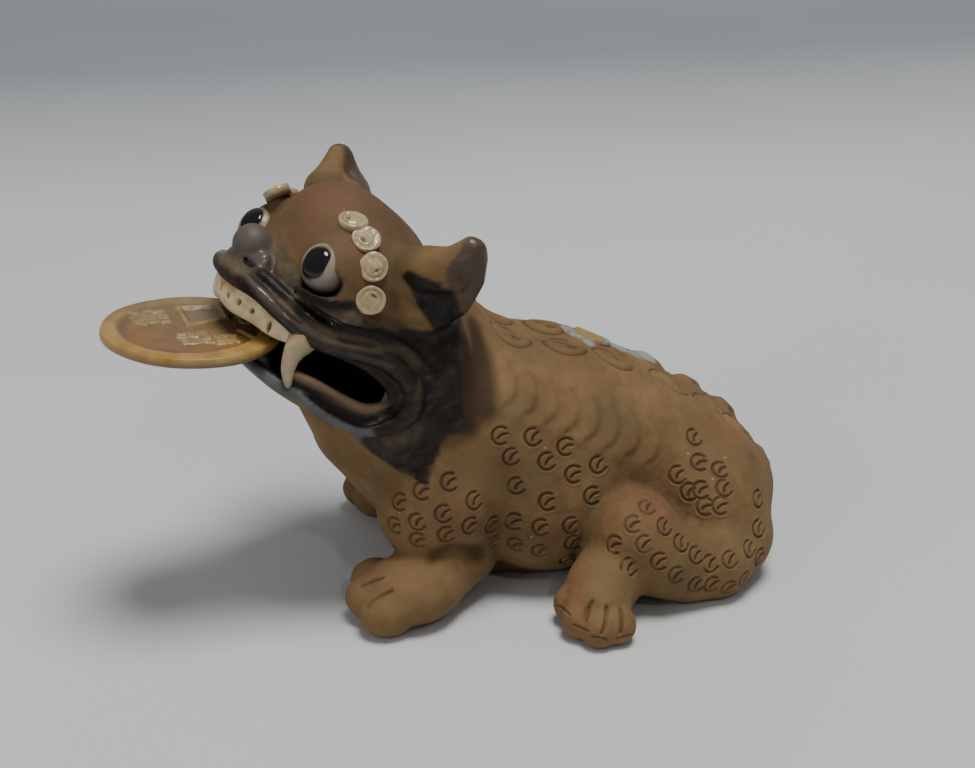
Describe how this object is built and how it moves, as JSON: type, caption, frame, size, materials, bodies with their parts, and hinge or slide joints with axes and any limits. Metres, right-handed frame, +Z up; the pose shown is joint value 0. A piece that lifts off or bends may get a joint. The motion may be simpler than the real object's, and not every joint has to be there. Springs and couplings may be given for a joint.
{
  "type": "ceramic foo dog figure",
  "caption": "Crouching stoneware foo dog with its head turned and raised, bulging eyes, stamped flanks, discs along the back and a glazed coin held in the open mouth.",
  "frame": {"origin": "middle of the whole object's box, on the ground it stands on", "axes": "+Z up, the body faces -Y, +X is the animal's left side, to which the head turns"},
  "size_m": [0.1072, 0.1616, 0.0978],
  "materials": {
    "stoneware": "unglazed brown stoneware, matt, with dark brown glaze on the face",
    "honey_glaze": "glossy honey brown glaze"
  },
  "bodies": {
    "root": {"figure": "stoneware", "coin": "honey_glaze"}
  },
  "joints": []
}
